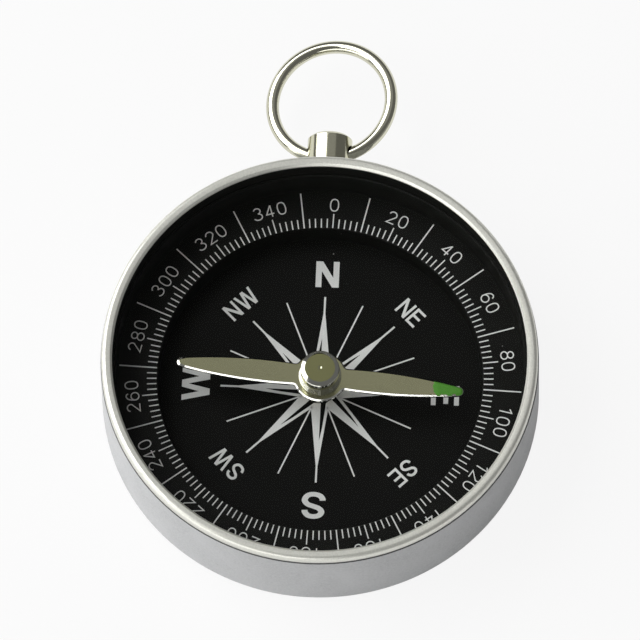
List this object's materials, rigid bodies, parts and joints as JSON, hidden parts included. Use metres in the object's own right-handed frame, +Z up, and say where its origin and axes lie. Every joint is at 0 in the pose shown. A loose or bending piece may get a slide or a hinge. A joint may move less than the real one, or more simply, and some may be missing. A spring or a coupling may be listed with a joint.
{
  "type": "pocket compass",
  "caption": "Round pocket compass: metal case with a raised degree ring, sunken compass rose, pivoted needle under a flat crystal, and a swinging lanyard ring on a stem.",
  "frame": {"origin": "centre of the case's flat underside", "axes": "+Z up through the crystal, +Y out along the stem towards the ring, +X to the east side of the dial"},
  "size_m": [0.0504, 0.0673, 0.0125],
  "materials": {
    "case_metal": "satin, finely turned",
    "bezel_metal": "satin top with bright broken edges",
    "clear_crystal": "clear, polished",
    "black_plastic": "fine matt moulding",
    "dial_black": "smooth black with silver grey print",
    "dial_print": "thin silver grey screen print",
    "adhesive_film": "soft film",
    "pivot_brass": "turned",
    "pin_steel": "ground to a point",
    "needle_nickel": "warm nickel plate, polished",
    "lume_green": "thick brushed luminous paint",
    "bearing_jewel": "polished cup",
    "bright_nickel": "bright nickel plate"
  },
  "bodies": {
    "case": {"case_shell": "case_metal", "bezel_ring": "bezel_metal", "crystal": "clear_crystal", "spacer_ring": "black_plastic", "scale_ring": "black_plastic", "dial_plate": "dial_black", "dial_adhesive": "adhesive_film", "pivot_base": "pivot_brass", "pivot_pin": "pin_steel", "stem": "bright_nickel"},
    "needle": {"needle_blade": "needle_nickel", "needle_lume": "lume_green", "needle_cap": "needle_nickel", "needle_jewel": "bearing_jewel", "needle_washer": "pivot_brass"},
    "ring": {"lanyard_ring": "bright_nickel"}
  },
  "joints": [
    {"name": "needle_spin", "type": "hinge", "parent": "case", "child": "needle", "pos_m": [0, 0, 0.00765], "axis": [0, 0, 1], "continuous": true},
    {"name": "ring_swing", "type": "hinge", "parent": "case", "child": "ring", "pos_m": [0, 0.0276, 0.00625], "axis": [0.9842, 0, 0.1771], "range_deg": [-108, 108]}
  ]
}
